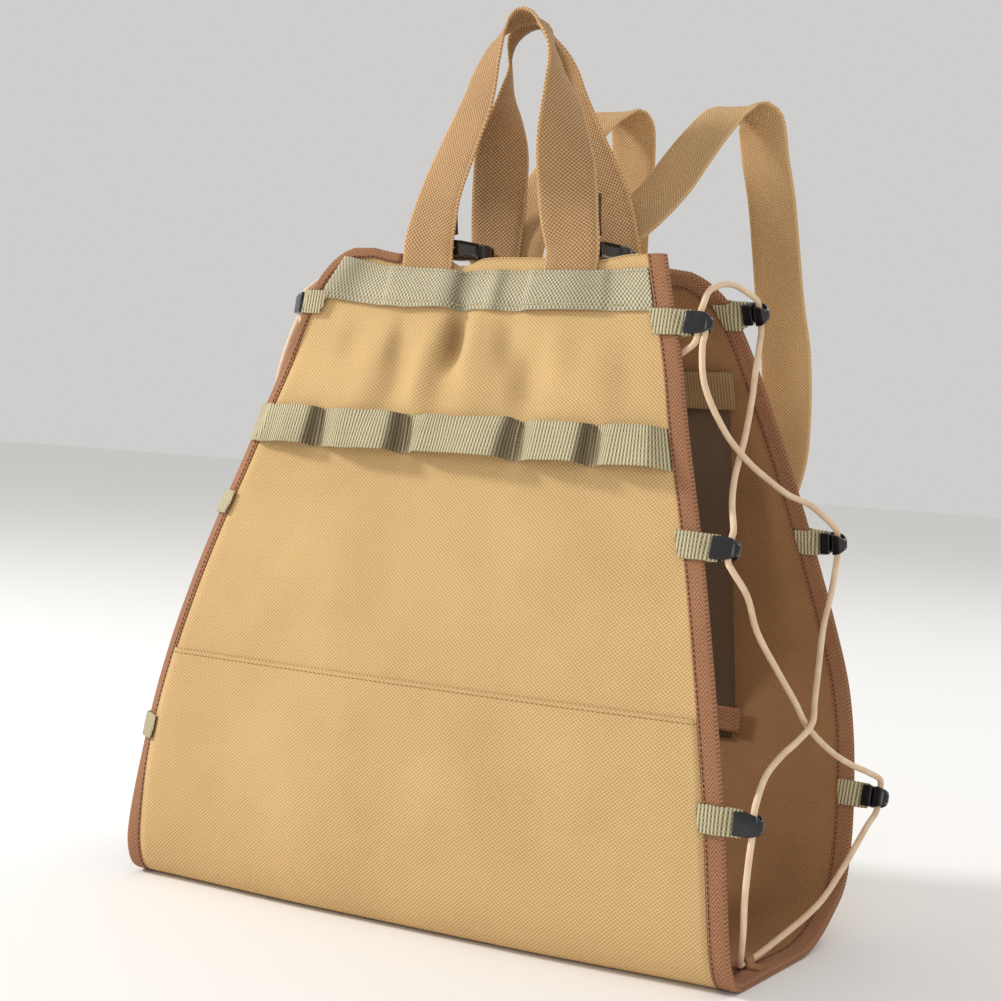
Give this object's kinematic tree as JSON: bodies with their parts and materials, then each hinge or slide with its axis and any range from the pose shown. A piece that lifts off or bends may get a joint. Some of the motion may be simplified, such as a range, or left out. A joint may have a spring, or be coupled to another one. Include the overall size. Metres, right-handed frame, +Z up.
{
  "type": "canvas log carrier",
  "caption": "Canvas log carrier: a stiff canvas sheet bent into a U, open at the top and sides, with webbing handles, backpack straps, buckled closing straps and laced side cords.",
  "frame": {"origin": "on the floor under the middle of the flat base", "axes": "+X to the viewer's right as one looks at the front panel, -Y out of the front panel, +Y towards the wearer's back, +Z up"},
  "size_m": [0.4702, 0.2503, 0.5899],
  "materials": {
    "canvas": "matt khaki-tan canvas",
    "edge_tape": "reddish-brown herringbone tape",
    "olive_webbing": "ribbed olive webbing",
    "tan_webbing": "ribbed tan webbing",
    "dark_webbing": "thin dark-brown webbing",
    "black_plastic": "moulded, semi-gloss",
    "pale_cord": "braided elastic cord"
  },
  "bodies": {
    "root": {"canvas_body": "canvas", "base_panel": "canvas", "binding_left": "edge_tape", "binding_right": "edge_tape", "top_band_front": "olive_webbing", "top_band_back": "olive_webbing", "mid_band": "olive_webbing", "handle_front": "tan_webbing", "handle_back": "tan_webbing", "shoulder_strap_left": "tan_webbing", "shoulder_strap_right": "tan_webbing", "buckle_left": "black_plastic", "closing_strap_left_front": "tan_webbing", "closing_strap_left_back": "tan_webbing", "strap_tail_left": "dark_webbing", "tab_front_left_1": "olive_webbing", "hook_front_left_1": "black_plastic", "tab_front_left_2": "olive_webbing", "hook_front_left_2": "black_plastic", "tab_front_left_3": "olive_webbing", "hook_front_left_3": "black_plastic", "tab_back_left_1": "olive_webbing", "hook_back_left_1": "black_plastic", "tab_back_left_2": "olive_webbing", "hook_back_left_2": "black_plastic", "tab_back_left_3": "olive_webbing", "hook_back_left_3": "black_plastic", "cord_keeper_left": "canvas", "cord_left": "pale_cord", "buckle_right": "black_plastic", "closing_strap_right_front": "tan_webbing", "closing_strap_right_back": "tan_webbing", "strap_tail_right": "dark_webbing", "tab_front_right_1": "olive_webbing", "hook_front_right_1": "black_plastic", "tab_front_right_2": "olive_webbing", "hook_front_right_2": "black_plastic", "tab_front_right_3": "olive_webbing", "hook_front_right_3": "black_plastic", "tab_back_right_1": "olive_webbing", "hook_back_right_1": "black_plastic", "tab_back_right_2": "olive_webbing", "hook_back_right_2": "black_plastic", "tab_back_right_3": "olive_webbing", "hook_back_right_3": "black_plastic", "cord_keeper_right": "canvas", "cord_right": "pale_cord", "inner_band": "olive_webbing", "inner_strip": "dark_webbing", "strip_keeper": "edge_tape"}
  },
  "joints": []
}
